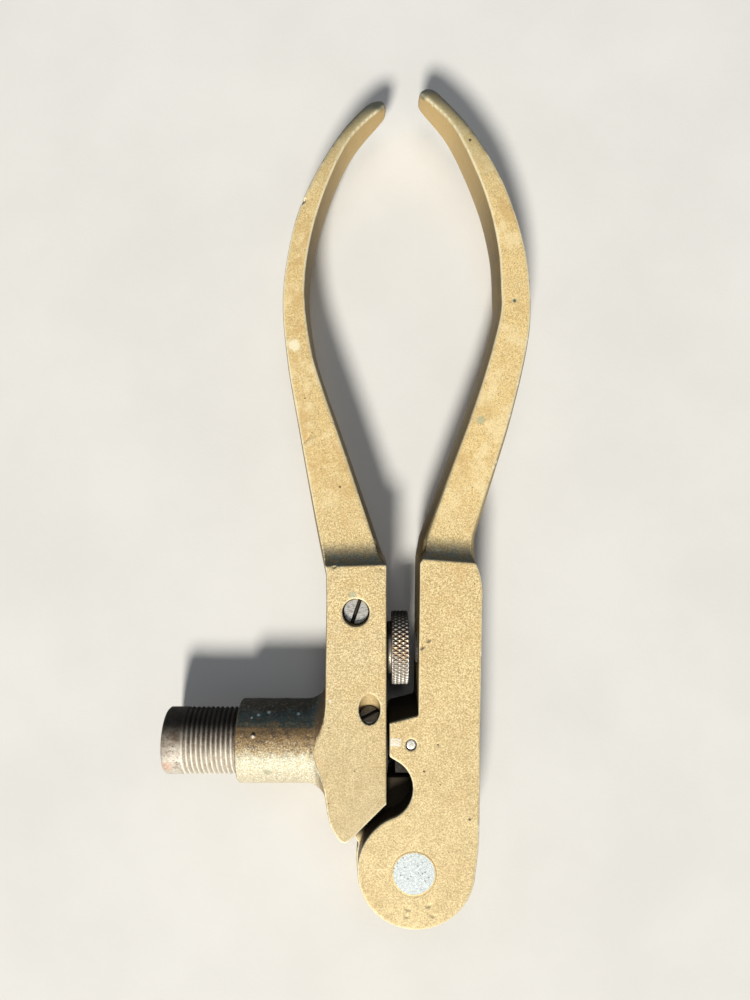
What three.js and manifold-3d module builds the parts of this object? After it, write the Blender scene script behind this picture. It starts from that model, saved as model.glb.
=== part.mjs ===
// Hinged hand press in the form of tongs. Two cast brass arms turn on a flush rivet: the left
// arm ends in a tongue that lies between the two cheeks of the right arm. The left arm carries
// a screw-in steel die in a round boss and a knurled thumbscrew that sets how far the arms
// close. The right arm carries the steel anvil that faces the die.
//
// Millimetres. The origin is the rivet's axis on the back face. +Y runs up the handles, +Z is
// the front face, and the die points along -X, away from the right arm.

import * as THREE from 'three';
import { mergeVertices } from 'three/addons/utils/BufferGeometryUtils.js';
import Module from 'manifold-3d';

const wasm = await Module();
wasm.setup();

// ---- Driving dimensions ----

const GAP = 0.3;                    // between neighbouring pieces
const BODY_THICKNESS = 25.4;
const MID_Z = BODY_THICKNESS / 2;
const BLOCK_DRAFT = 0.45;           // how far the cast sides swell at the mid-plane
const RIGHT_HANDLE_DRAFT = 1.8;
const LEFT_HANDLE_DRAFT = 1.0;
const HANDLE_ROOT_HALF = 9.4;       // half thickness of a handle beside its step
const HANDLE_NECK_HALF = 8.0;       // and where it begins to thin towards the tip
const STEP_RUN = 7.3;               // length of the hollow curve from body to handle
const HANDLE_STEPS = 64;            // facets along each side of a handle

const RIVET_RADIUS = 5.8;
const CHEEK_THICKNESS = 7.9;
const TONGUE_RADIUS = 16.4;
const SLOT_RADIUS = 24.9;           // sweep of the tongue's longest corner, with clearance

const DIE_Y = 33.4;
const DIE_RADIUS = 9.525;
const DIE_OUTER_X = -71.8;
const DIE_INNER_X = -7.25;
const DIE_PLAIN_END = 5.9;          // unthreaded length at the outer end
const THREAD_PITCH = 1.411;
const THREAD_DEPTH = 0.8;
const DIE_BORE_RADIUS = 6.3;
const DIE_BORE_DEPTH = 38;
const STEM_RADIUS = 3.9;
const STEM_POCKET_DEPTH = 6;

const BOSS_RADIUS = 12;
const BOSS_END_X = -50.4;
const BOSS_FILLET = 6;              // hollow curve from the boss to the arm's side
const ARM_SIDE_X = -24.8;

const THUMB_Y = 60.8;
const WHEEL_RADIUS = 10.75;
const WHEEL_FACE_X = -1.3;
const WHEEL_WIDTH = 4.7;
const HUB_RADIUS = 7.6;
const SHANK_RADIUS = 3.95;
const SHANK_END_X = -23.6;
const STOP_BUTTON_RADIUS = 4.5;
const STOP_BUTTON_LENGTH = 3.2;
const STOP_BUTTON_PROUD = 0.4;

const CLAMP_SCREW_AT = [-16.2, 72.9];
const CLAMP_HEAD_RADIUS = 3.5;
const CLAMP_HEAD_TOP = BODY_THICKNESS - 2;
const CLAMP_HEAD_HEIGHT = 2.4;
const CLAMP_SHANK_RADIUS = 2.1;
const CLAMP_SHANK_END = 5;
const SLIT_WIDTH = 1.0;
const SLIT_SAW_RADIUS = 16;
const SLIT_SAW_AT = [-5, 66];

const LOCK_RIM_AT = [-12.4, 46.1];  // where the inclined hole meets the front face
const LOCK_HOLE_RADIUS = 3.0;
const LOCK_SCREW_RADIUS = 2.7;
const LOCK_SCREW_DEPTH = 3.1;       // from the front face down to its slotted end

const RIGHT_STEP = { y: 87.9, tipY: 224.9, tilt: -4.4 };  // tilt in degrees
const LEFT_STEP = { y: 86.3, tipY: 221.2, tilt: 1.6 };

const INNER_FACE_X = -7.67;         // machined face of the left arm
const RIGHT_FACE_X = 1.4;           // machined face of the right arm beside the thumbscrew
const LIP_X = -6.85;                // machined face of the right arm beside the die
const ANVIL = { x0: -5.05, x1: 6.6, y0: 25.3, y1: 40.2 };
const CROSS_PIN_AT = [-0.78, 36.0];
const CROSS_PIN_RADIUS = 1.2;

// ---- From three.js geometry to manifold solids and back ----

function signedVolume(positions, triangles) {
  const a = new THREE.Vector3();
  const b = new THREE.Vector3();
  const c = new THREE.Vector3();
  let sum = 0;
  for (let i = 0; i < triangles.length; i += 3) {
    a.fromArray(positions, 3 * triangles[i]);
    b.fromArray(positions, 3 * triangles[i + 1]);
    c.fromArray(positions, 3 * triangles[i + 2]);
    sum += a.dot(b.cross(c));
  }
  return sum / 6;
}

// Joins shared corners, drops the triangles that this collapses, and turns the faces outward.
function solidOf(geometry) {
  const bare = geometry.clone();
  bare.deleteAttribute('normal');
  bare.deleteAttribute('uv');
  const merged = mergeVertices(bare, 1e-4);
  const positions = new Float32Array(merged.attributes.position.array);
  const corners = merged.index.array;
  const triangles = [];
  for (let i = 0; i < corners.length; i += 3) {
    const [a, b, c] = corners.slice(i, i + 3);
    if (a !== b && b !== c && c !== a) triangles.push(a, b, c);
  }
  if (signedVolume(positions, triangles) < 0) triangles.reverse();
  return new wasm.Manifold(new wasm.Mesh({
    numProp: 3,
    vertProperties: positions,
    triVerts: new Uint32Array(triangles),
  }));
}

function geometryOf(solid) {
  const mesh = solid.getMesh();
  const geometry = new THREE.BufferGeometry();
  geometry.setAttribute('position', new THREE.BufferAttribute(mesh.vertProperties, 3));
  geometry.setIndex(new THREE.BufferAttribute(mesh.triVerts, 1));
  geometry.computeVertexNormals();
  return geometry;
}

function node(name, solid, material) {
  const mesh = new THREE.Mesh(geometryOf(solid), material);
  mesh.name = name;
  return mesh;
}

// ---- Building blocks ----

// A plan outline standing from z0 to z1.
function prism(shape, z0, z1, curveSegments = 12) {
  const geometry = new THREE.ExtrudeGeometry(shape, {
    depth: z1 - z0,
    bevelEnabled: false,
    curveSegments,
  });
  return solidOf(geometry.translate(0, 0, z0));
}

// A plan outline cast in two halves: it swells by `draft` from each face to the mid-plane.
function casting(shape, halfThickness, draft) {
  const bandHalf = 0.4;
  const geometry = new THREE.ExtrudeGeometry(shape, {
    depth: 2 * bandHalf,
    bevelThickness: halfThickness - bandHalf,
    bevelSize: draft,
    bevelSegments: 3,
    curveSegments: 12,
  });
  return solidOf(geometry.translate(0, 0, MID_Z - bandHalf));
}

function box(x0, x1, y0, y1, z0, z1) {
  const geometry = new THREE.BoxGeometry(x1 - x0, y1 - y0, z1 - z0);
  return solidOf(geometry.translate((x0 + x1) / 2, (y0 + y1) / 2, (z0 + z1) / 2));
}

// A rod along Z, centred on (x, y).
function uprightRod(radius, x, y, z0, z1, segments = 40) {
  const geometry = new THREE.CylinderGeometry(radius, radius, z1 - z0, segments);
  geometry.rotateX(Math.PI / 2);
  return solidOf(geometry.translate(x, y, (z0 + z1) / 2));
}

// A shape turned on a lathe, from points [along, radius], with its axis laid along +X.
function turned(points, segments = 44) {
  const profile = points.map(([along, radius]) => new THREE.Vector2(radius, along));
  const geometry = new THREE.LatheGeometry(profile, segments);
  return solidOf(geometry.rotateZ(-Math.PI / 2));
}

function levelRod(radius, y, x0, x1, segments = 48) {
  const rod = turned([[x0, 0], [x0, radius], [x1, radius], [x1, 0]], segments);
  return rod.translate(0, y, MID_Z);
}

const radians = THREE.MathUtils.degToRad;

// Carries an outline on along a smooth curve through the points given.
function sweepThrough(path, points, steps) {
  const through = points.map(([x, y]) => new THREE.Vector2(x, y));
  const curve = new THREE.SplineCurve([path.currentPoint.clone(), ...through]);
  for (const point of curve.getPoints(steps).slice(1)) path.lineTo(point.x, point.y);
}

// Side view of an arm, along X: full thickness to the step, a hollow curve down to the handle,
// then a slow taper to a rounded tip. `tilt` turns the step's line about (0, step.y).
function sideView(step) {
  const { y: stepY, tipY, tilt } = step;
  const top = MID_Z + 0.05;
  const drop = top - HANDLE_ROOT_HALF;
  const coveRadius = (STEP_RUN ** 2 + drop ** 2) / (2 * drop);
  const coveEndY = stepY + STEP_RUN;
  const startAngle = -Math.PI / 2 - Math.asin(STEP_RUN / coveRadius);
  const edge = new THREE.Path();
  edge.moveTo(-40, top);
  edge.lineTo(stepY, top);
  edge.absarc(coveEndY, HANDLE_ROOT_HALF + coveRadius, coveRadius, startAngle, -Math.PI / 2, false);
  edge.lineTo(tipY - 36, HANDLE_NECK_HALF);
  sweepThrough(edge, [[tipY - 16, 7.2], [tipY - 7, 5.7], [tipY - 2, 3.9], [tipY + 0.4, 1.9]], 14);
  const upper = edge.getPoints(10);
  const lower = upper.map((p) => new THREE.Vector2(p.x, -p.y)).reverse();
  const halfLength = 60;
  const geometry = new THREE.ExtrudeGeometry(new THREE.Shape([...upper, ...lower]), {
    depth: 2 * halfLength,
    bevelEnabled: false,
  });
  geometry.applyMatrix4(new THREE.Matrix4().makeBasis(
    new THREE.Vector3(0, 1, 0), new THREE.Vector3(0, 0, 1), new THREE.Vector3(1, 0, 0)));
  geometry.translate(-halfLength, -stepY, MID_Z);
  geometry.rotateZ(radians(tilt));
  return solidOf(geometry.translate(0, stepY, 0));
}

// A handle keeps its plan outline on both faces and swells between them.
function handleBlank(shape, draft) {
  return casting(shape, HANDLE_ROOT_HALF, draft).add(prism(shape, 0, BODY_THICKNESS));
}

// ---- Right arm ----

const ROUND_END = { x: 0.7, y: 0.7, radius: 16.5 };
const NOTCH = { x: -8.92, y: 23.75, radius: 8.64 };

function rightBlockShape() {
  const shape = new THREE.Shape();
  shape.moveTo(5, 92);
  shape.lineTo(1.6, 86.5);
  shape.lineTo(1.2, 44.2);
  shape.lineTo(-9, 41.5);
  shape.lineTo(-9.68, 13.52);
  shape.absarc(ROUND_END.x, ROUND_END.y, ROUND_END.radius, radians(129), radians(358), false);
  shape.quadraticCurveTo(18.1, 6, 18.2, 12);
  shape.lineTo(18.6, 48.5);
  shape.lineTo(19.2, 79);
  shape.quadraticCurveTo(18.8, 85.2, 16.1, 88.4);
  return shape;
}

// What is machined away beside the left arm: the inner face, the ledge, the lip and the notch.
function rightMouthShape() {
  const shape = new THREE.Shape();
  shape.moveTo(-40, 88);
  shape.lineTo(-40, -7);
  shape.absarc(ROUND_END.x, ROUND_END.y, ROUND_END.radius, radians(205), radians(129), true);
  shape.quadraticCurveTo(-7.96, 14.93, -6.25, 15.53);
  shape.absarc(NOTCH.x, NOTCH.y, NOTCH.radius, radians(-72), radians(62), false);
  shape.lineTo(LIP_X, 32.6);
  shape.lineTo(LIP_X, 42.1);
  shape.lineTo(1.2, 44.2);
  shape.lineTo(1.67, 88);
  return shape;
}

function rightHandleShape() {
  const shape = new THREE.Shape();
  shape.moveTo(3.6, 80);
  shape.lineTo(16.6, 80);
  shape.lineTo(16.4, 89.5);
  sweepThrough(shape, [
    [16.6, 94.6], [19.1, 102.9], [26.4, 126.5], [31.4, 147.6], [32.5, 160.6], [30.9, 176.3],
    [24.7, 195.1], [15.8, 209.8], [7.2, 220.3],
  ], HANDLE_STEPS);
  shape.quadraticCurveTo(4.9, 223.6, 4.1, 222.3);
  sweepThrough(shape, [
    [12.9, 211.8], [21.1, 193.4], [25, 178], [26, 165], [25.5, 155.4],
    [19.4, 134.4], [11.5, 113.3], [3.9, 92.9],
  ], HANDLE_STEPS);
  shape.lineTo(3.1, 88);
  return shape;
}

function forkSlot() {
  const z0 = CHEEK_THICKNESS;
  const z1 = BODY_THICKNESS - CHEEK_THICKNESS;
  const sweep = uprightRod(SLOT_RADIUS, 0, 0, z0, z1, 72);
  const pocket = box(-20, ANVIL.x1 + GAP, 15, ANVIL.y1 + GAP, z0, z1);
  return sweep.add(pocket);
}

function rightArm(material) {
  const stopPocketEnd = RIGHT_FACE_X + STOP_BUTTON_LENGTH + GAP;
  const stopPocket = levelRod(STOP_BUTTON_RADIUS + GAP, THUMB_Y, -5, stopPocketEnd, 36);
  const solid = casting(rightBlockShape(), MID_Z, BLOCK_DRAFT)
    .add(handleBlank(rightHandleShape(), RIGHT_HANDLE_DRAFT))
    .subtract(prism(rightMouthShape(), -5, BODY_THICKNESS + 5))
    .intersect(sideView(RIGHT_STEP))
    .subtract(forkSlot())
    .subtract(uprightRod(RIVET_RADIUS + GAP, 0, 0, -1, BODY_THICKNESS + 1, 48))
    .subtract(uprightRod(CROSS_PIN_RADIUS + GAP, ...CROSS_PIN_AT, -1, BODY_THICKNESS + 1, 24))
    .subtract(stopPocket);
  return node('right_arm', solid, material);
}

// ---- Left arm ----

function leftBlockShape() {
  const shape = new THREE.Shape();
  shape.moveTo(-24.5, 89);
  shape.lineTo(-24.3, 76.4);
  shape.lineTo(-24.6, 54.1);
  sweepThrough(shape, [[-24.8, 40], [-24.9, 24], [-23.7, 14.4], [-21.3, 9.8]], 14);
  shape.quadraticCurveTo(-19.6, 7.3, -17.7, 9.42);
  shape.lineTo(-8.31, 18.8);
  shape.lineTo(INNER_FACE_X + 1, 20);
  shape.lineTo(INNER_FACE_X + 1, 83.5);
  shape.quadraticCurveTo(-7.6, 86.6, -10.4, 89);
  return shape;
}

function leftHandleShape() {
  const shape = new THREE.Shape();
  shape.moveTo(-9.4, 80);
  shape.lineTo(-9.6, 88);
  sweepThrough(shape, [
    [-14, 101], [-21.9, 123.9], [-26, 135.4], [-29.6, 147.6], [-31.5, 163.3],
    [-30, 178], [-25.4, 193.9], [-18.4, 208.6], [-8.8, 219.2],
  ], HANDLE_STEPS);
  shape.quadraticCurveTo(-8.6, 221.1, -11.6, 219.6);
  sweepThrough(shape, [
    [-20.2, 209.2], [-28.6, 195.1], [-33.6, 182], [-36.6, 163.3], [-35.4, 144.9],
    [-31.9, 123.9], [-27.7, 100.3], [-24.9, 86],
  ], HANDLE_STEPS);
  shape.lineTo(-23.6, 80);
  return shape;
}

// The tongue: a disc about the rivet with a web up to the block.
function tongueShape() {
  const shape = new THREE.Shape();
  shape.moveTo(-12, 24);
  shape.lineTo(-20, 15);
  shape.lineTo(-18.6, 10);
  shape.absarc(0, 0, TONGUE_RADIUS, radians(163), radians(375), false);
  shape.lineTo(5, 24);
  return shape;
}

function boss() {
  const filletX = ARM_SIDE_X - BOSS_FILLET;
  const flare = [];
  for (let step = 0; step <= 6; step += 1) {
    const angle = (step / 6) * (Math.PI / 2);
    flare.push([
      filletX + BOSS_FILLET * Math.sin(angle),
      BOSS_RADIUS + BOSS_FILLET * (1 - Math.cos(angle)),
    ]);
  }
  const edge = 0.5;
  const rim = [[BOSS_END_X, 0], [BOSS_END_X, BOSS_RADIUS - edge], [BOSS_END_X + edge, BOSS_RADIUS]];
  const root = [[ARM_SIDE_X + 4, BOSS_RADIUS + BOSS_FILLET], [ARM_SIDE_X + 4, 0]];
  return turned([...rim, ...flare, ...root]).translate(0, DIE_Y, MID_Z);
}

// Turns something built along +Z so that it points from the die's axis to the lock hole's rim.
const LOCK_ANGLE = Math.atan2(LOCK_RIM_AT[1] - DIE_Y, BODY_THICKNESS - MID_Z);
const LOCK_RIM_DISTANCE = Math.hypot(LOCK_RIM_AT[1] - DIE_Y, BODY_THICKNESS - MID_Z);

function lockHole() {
  const geometry = new THREE.CylinderGeometry(LOCK_HOLE_RADIUS, LOCK_HOLE_RADIUS, 18, 32);
  geometry.rotateX(Math.PI / 2);
  geometry.translate(0, 0, 6 + 9);
  geometry.rotateX(-LOCK_ANGLE);
  return solidOf(geometry.translate(LOCK_RIM_AT[0], DIE_Y, MID_Z));
}

function clampHole() {
  const [x, y] = CLAMP_SCREW_AT;
  const headSeat = CLAMP_HEAD_TOP - CLAMP_HEAD_HEIGHT - GAP;
  const well = uprightRod(CLAMP_HEAD_RADIUS + GAP, x, y, headSeat, BODY_THICKNESS + 1, 40);
  return well.add(uprightRod(CLAMP_SHANK_RADIUS + GAP, x, y, CLAMP_SHANK_END - 1, MID_Z + 8, 28));
}

function leftArm(material) {
  const slab = box(-60, 60, -30, 120, 0, BODY_THICKNESS);
  const machined = box(INNER_FACE_X, 20, 19.2, 90, -5, BODY_THICKNESS + 5);
  const tongue = prism(tongueShape(), CHEEK_THICKNESS + GAP, BODY_THICKNESS - CHEEK_THICKNESS - GAP);
  const slitZ = SLIT_WIDTH / 2;
  const solid = casting(leftBlockShape(), MID_Z, BLOCK_DRAFT)
    .add(boss().intersect(slab))
    .add(handleBlank(leftHandleShape(), LEFT_HANDLE_DRAFT))
    .subtract(machined)
    .intersect(sideView(LEFT_STEP))
    .add(tongue)
    .subtract(uprightRod(RIVET_RADIUS + GAP, 0, 0, -1, BODY_THICKNESS + 1, 48))
    .subtract(levelRod(DIE_RADIUS + GAP, DIE_Y, BOSS_END_X - 2, 0, 56))
    .subtract(levelRod(SHANK_RADIUS + GAP, THUMB_Y, -30, 0, 36))
    .subtract(uprightRod(SLIT_SAW_RADIUS, ...SLIT_SAW_AT, MID_Z - slitZ, MID_Z + slitZ, 64))
    .subtract(lockHole())
    .subtract(clampHole());
  return node('left_arm', solid, material);
}

// ---- Small pieces ----

function pivotRivet(material) {
  const solid = uprightRod(RIVET_RADIUS, 0, 0, 0, BODY_THICKNESS, 48);
  return node('pivot_rivet', solid, material);
}

function anvilBlock(material) {
  const z0 = CHEEK_THICKNESS + GAP;
  const z1 = BODY_THICKNESS - CHEEK_THICKNESS - GAP;
  const solid = box(ANVIL.x0, ANVIL.x1, ANVIL.y0, ANVIL.y1, z0, z1)
    .subtract(uprightRod(CROSS_PIN_RADIUS + GAP, ...CROSS_PIN_AT, 0, BODY_THICKNESS, 24));
  return node('anvil_block', solid, material);
}

function anvilPin(material) {
  const end = 0.15;
  const solid = uprightRod(CROSS_PIN_RADIUS, 0, 0, end, BODY_THICKNESS - end, 24);
  const mesh = node('anvil_pin', solid, material);
  mesh.position.set(...CROSS_PIN_AT, 0);
  return mesh;
}

function stopButton(material) {
  const solid = turned([
    [0, 0], [0, STOP_BUTTON_RADIUS - 0.4], [0.4, STOP_BUTTON_RADIUS],
    [STOP_BUTTON_LENGTH, STOP_BUTTON_RADIUS], [STOP_BUTTON_LENGTH, 0],
  ], 36);
  const mesh = node('stop_button', solid, material);
  mesh.position.set(RIGHT_FACE_X - STOP_BUTTON_PROUD, THUMB_Y, MID_Z);
  return mesh;
}

// The die: a threaded sleeve, open at both ends, bored for the work from its inner end.
function dieSleeve(material) {
  const length = DIE_INNER_X - DIE_OUTER_X;
  const crest = THREAD_PITCH / 8;
  const outer = [[0, DIE_RADIUS - 0.6], [0.6, DIE_RADIUS]];
  const threadEnd = BOSS_END_X - DIE_OUTER_X + 1;
  for (let x = DIE_PLAIN_END; x < threadEnd; x += THREAD_PITCH) {
    outer.push([x, DIE_RADIUS]);
    outer.push([x + THREAD_PITCH / 2, DIE_RADIUS - THREAD_DEPTH]);
    outer.push([x + THREAD_PITCH - crest, DIE_RADIUS]);
  }
  outer.push([length - 0.4, DIE_RADIUS], [length, DIE_RADIUS - 0.4]);
  const stemBore = STEM_RADIUS + GAP;
  const shoulder = length - DIE_BORE_DEPTH;
  const inner = [
    [length, DIE_BORE_RADIUS + 0.3], [length - 0.6, DIE_BORE_RADIUS], [shoulder, DIE_BORE_RADIUS],
    [shoulder - 1.5, stemBore], [STEM_POCKET_DEPTH + 0.8, stemBore],
    [STEM_POCKET_DEPTH, DIE_BORE_RADIUS], [0, DIE_BORE_RADIUS],
  ];
  return node('die_sleeve', turned([...outer, ...inner, outer[0]], 36), material);
}

// The stem inside the die, set from its slotted outer end.
function seatingStem(material) {
  const start = STEM_POCKET_DEPTH - 1.5;
  const noseStart = DIE_INNER_X - DIE_OUTER_X - DIE_BORE_DEPTH + 1.2;
  const noseRadius = DIE_BORE_RADIUS - GAP;
  const cup = 1.4;
  const solid = turned([
    [start, 0], [start, STEM_RADIUS - 0.4], [start + 0.4, STEM_RADIUS], [noseStart, STEM_RADIUS],
    [noseStart + 0.8, noseRadius], [noseStart + 6, noseRadius], [noseStart + 6, noseRadius - 1.6],
    [noseStart + 6 - cup, 1], [noseStart + 6 - cup, 0],
  ], 32);
  const slot = box(start - 1, start + 1.6, -6, 6, -0.6, 0.6);
  return node('seating_stem', solid.subtract(slot), material);
}

function lockScrew(material) {
  const bottom = DIE_RADIUS + GAP + 0.15;
  const top = LOCK_RIM_DISTANCE - LOCK_SCREW_DEPTH;
  const slot = box(-5, 5, -0.5, 0.5, top - 1.2, top + 1);
  const solid = uprightRod(LOCK_SCREW_RADIUS, 0, 0, bottom, top, 28);
  const turnedSlot = slot.rotate([0, 0, 30]);
  const mesh = node('die_lock_screw', solid.subtract(turnedSlot), material);
  mesh.rotation.x = -LOCK_ANGLE;
  mesh.position.set(LOCK_RIM_AT[0], DIE_Y, MID_Z);
  return mesh;
}

function clampScrew(material) {
  const [x, y] = CLAMP_SCREW_AT;
  const headBottom = CLAMP_HEAD_TOP - CLAMP_HEAD_HEIGHT;
  const slot = box(-0.48, 0.48, -5, 5, CLAMP_HEAD_TOP - 1.1, CLAMP_HEAD_TOP + 1);
  const solid = uprightRod(CLAMP_HEAD_RADIUS, 0, 0, headBottom, CLAMP_HEAD_TOP, 40)
    .add(uprightRod(CLAMP_SHANK_RADIUS, 0, 0, CLAMP_SHANK_END, headBottom + 0.5, 28))
    .subtract(slot);
  const mesh = node('clamp_screw', solid, material);
  mesh.rotation.z = radians(-19);
  mesh.position.set(x, y, 0);
  return mesh;
}

// Knurled wheel, hub and shank in one piece.
function thumbscrew(material) {
  const hubX = INNER_FACE_X + GAP;
  const wheelX = WHEEL_FACE_X - WHEEL_WIDTH;
  const edge = 0.45;
  const solid = turned([
    [SHANK_END_X, 0], [SHANK_END_X, SHANK_RADIUS - 0.6], [SHANK_END_X + 0.6, SHANK_RADIUS],
    [hubX, SHANK_RADIUS], [hubX, HUB_RADIUS], [wheelX, HUB_RADIUS],
    [wheelX, WHEEL_RADIUS - edge], [wheelX + edge, WHEEL_RADIUS],
    [WHEEL_FACE_X - edge, WHEEL_RADIUS], [WHEEL_FACE_X, WHEEL_RADIUS - edge], [WHEEL_FACE_X, 0],
  ], 60);
  const mesh = node('thumbscrew', solid, material);
  mesh.position.set(0, THUMB_Y, MID_Z);
  return mesh;
}

// ---- Materials and assembly ----

const metal = (color, roughness) =>
  new THREE.MeshStandardMaterial({ color, roughness, metalness: 1 });
const brass = metal(0xc9a468, 0.45);
const darkSteel = metal(0x6a5f55, 0.5);
const steel = metal(0x8d8a86, 0.4);
const rivetMetal = metal(0xc4c6c6, 0.5);

const group = new THREE.Group();
group.add(rightArm(brass));
group.add(leftArm(brass));
group.add(pivotRivet(rivetMetal));
group.add(anvilBlock(darkSteel));
group.add(anvilPin(steel));
group.add(stopButton(steel));
group.add(thumbscrew(steel));
group.add(clampScrew(steel));
group.add(lockScrew(darkSteel));

const die = new THREE.Group();
die.position.set(DIE_OUTER_X, DIE_Y, MID_Z);
die.add(dieSleeve(darkSteel));
die.add(seatingStem(steel));
group.add(die);

export default group;
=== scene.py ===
import math

import bmesh
import bpy
import numpy as np
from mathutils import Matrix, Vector


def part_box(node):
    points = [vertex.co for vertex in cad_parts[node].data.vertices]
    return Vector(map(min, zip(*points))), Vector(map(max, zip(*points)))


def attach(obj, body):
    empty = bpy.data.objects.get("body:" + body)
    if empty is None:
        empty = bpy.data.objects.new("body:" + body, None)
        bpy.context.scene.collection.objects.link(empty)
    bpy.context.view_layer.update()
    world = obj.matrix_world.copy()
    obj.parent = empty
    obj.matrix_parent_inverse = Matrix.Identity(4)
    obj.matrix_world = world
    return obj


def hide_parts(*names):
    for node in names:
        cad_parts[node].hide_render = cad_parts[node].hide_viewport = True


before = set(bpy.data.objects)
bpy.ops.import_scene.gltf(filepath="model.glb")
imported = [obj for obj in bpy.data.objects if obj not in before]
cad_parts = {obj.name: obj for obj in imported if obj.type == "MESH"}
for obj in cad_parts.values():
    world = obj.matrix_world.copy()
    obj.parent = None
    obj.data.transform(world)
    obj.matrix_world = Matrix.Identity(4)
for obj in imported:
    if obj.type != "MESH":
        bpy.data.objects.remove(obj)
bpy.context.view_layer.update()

MM = 0.001

# Places on the object in millimetres, in the part's own frame.
BODY_TOP = 25.4
DIE_Y, DIE_Z = 33.4, 12.7
THUMB_Y = 60.8
DIE_RADIUS = 9.525
THREAD_PITCH = 1.411
THREAD_DEPTH = 0.82
THREAD_START = 5.6
WHEEL_RADIUS = 10.75
KNURL_COUNT = 50
KNURL_SLANT = 0.63
KNURL_DEPTH = 0.45
RIVET_HEAD = 6.35
RIVET_BODY = 5.9
BRIGHT_PATCH = ((-6.7, 35.5), (-3.6, 37.8))
RUST_BLOOM = (-70.3, 28.2, 20.7)
RUST_BAND_Y = 63.2
THREAD_X = -66.0
LOCK_RIM_Y = 46.1
LOCK_DEPTH = 3.1

# Stretches over which one thing blends into the next: (where it starts, where it is complete).
ROUND_END = (12, -8)
HANDLE_START = (92, 100)
HANDLE_FACE = (88, 112)
TIP = (196, 220)
BOSS_ROOT = (-26.5, -30.0)
BOSS_RIM = (-50.3, -49.3)
BOSS_SIDE = (62, 54)

# The mouth of the press, between the blocks, darkened as painted shade: (way in, way out) along
# each axis.
MOUTH_X = ((-19.0, -15.0), (3.0, 1.0))
MOUTH_Y = ((6.0, 9.0), (47.0, 44.5))
MOUTH_Z = ((0.25, 1.2), (25.15, 24.2))


# ---- Meshes ----

def object_from(name, mesh):
    obj = bpy.data.objects.new(name, mesh)
    bpy.context.scene.collection.objects.link(obj)
    return obj


def baked(obj):
    """Turns an object's modifiers into its mesh."""
    graph = bpy.context.evaluated_depsgraph_get()
    mesh = bpy.data.meshes.new_from_object(obj.evaluated_get(graph))
    obj.modifiers.clear()
    obj.data = mesh
    return obj


def welded_copy(node):
    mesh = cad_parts[node].data.copy()
    mesh.materials.clear()
    bm = bmesh.new()
    bm.from_mesh(mesh)
    bmesh.ops.remove_doubles(bm, verts=bm.verts, dist=1e-7)
    bm.to_mesh(mesh)
    bm.free()
    return mesh


def refined(name, node, voxel):
    """A copy of a CAD node in small even faces. voxel is in millimetres."""
    obj = object_from(name, welded_copy(node))
    remesh = obj.modifiers.new("voxels", "REMESH")
    remesh.mode = "VOXEL"
    remesh.voxel_size = voxel * MM
    return baked(obj)


def coordinates(mesh):
    """Where the vertices are, in millimetres."""
    co = np.empty(3 * len(mesh.vertices))
    mesh.vertices.foreach_get("co", co)
    return co.reshape(-1, 3) / MM


def set_coordinates(mesh, co):
    mesh.vertices.foreach_set("co", (co * MM).ravel())
    mesh.update()


def normals(mesh):
    out = np.empty(3 * len(mesh.vertices))
    mesh.vertices.foreach_get("normal", out)
    return out.reshape(-1, 3)


def soften(obj, share, rounds):
    """Rounds off edges by averaging neighbours. share says how much of it each vertex takes."""
    mesh = obj.data
    co = coordinates(mesh)
    edges = np.empty(2 * len(mesh.edges), np.int64)
    mesh.edges.foreach_get("vertices", edges)
    edges = edges.reshape(-1, 2)
    a, b = edges[(share[edges] > 0).any(axis=1)].T
    count = np.maximum(np.bincount(np.concatenate([a, b]), minlength=len(co)), 1)
    for _ in range(rounds):
        for k in range(3):
            total = np.bincount(a, co[b, k], len(co)) + np.bincount(b, co[a, k], len(co))
            co[:, k] += (total / count - co[:, k]) * share * 0.5
    set_coordinates(mesh, co)
    return obj


def ramp(values, start, end):
    """0 at start, 1 at end, and smooth between."""
    t = np.clip((values - start) / (end - start), 0, 1)
    return t * t * (3 - 2 * t)


def thin_out(obj, faces):
    """Collapses flat stretches until about this many triangles are left."""
    count = sum(len(p.vertices) - 2 for p in obj.data.polygons)
    if count > faces:
        decimate = obj.modifiers.new("thin", "DECIMATE")
        decimate.ratio = faces / count
        baked(obj)
    return obj


def press(obj, dents):
    """Pushes the surface along its normal. Each dent is (centre, radii, depth, turn in degrees)."""
    co = coordinates(obj.data)
    nor = normals(obj.data)
    move = np.zeros(len(co))
    for centre, radii, depth, turn in dents:
        offset = co - np.array(centre)
        a = math.radians(turn)
        along = offset[:, 0] * math.cos(a) + offset[:, 1] * math.sin(a)
        across = -offset[:, 0] * math.sin(a) + offset[:, 1] * math.cos(a)
        r2 = (along / radii[0]) ** 2 + (across / radii[1]) ** 2 + (offset[:, 2] / radii[2]) ** 2
        move -= depth * np.clip(1 - r2, 0, None) ** 1.5
    set_coordinates(obj.data, co + nor * move[:, None])
    return obj


def wander(co, wave, seed):
    """A slow, smooth unevenness between about -1 and 1, from a few crossed waves."""
    rng = np.random.default_rng(seed)
    total = np.zeros(len(co))
    for _ in range(6):
        direction = rng.normal(size=3)
        direction /= np.linalg.norm(direction)
        length = wave * rng.uniform(0.7, 1.5)
        total += np.sin(co @ direction * 2 * math.pi / length + rng.uniform(0, 6.28))
    return total / 6


def hand_finished(obj, amount, wave, seed):
    """Makes flat faces and straight edges wander a little, as hand filing does."""
    co = coordinates(obj.data)
    set_coordinates(obj.data, co + normals(obj.data) * (amount * wander(co, wave, seed))[:, None])
    return obj


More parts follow.
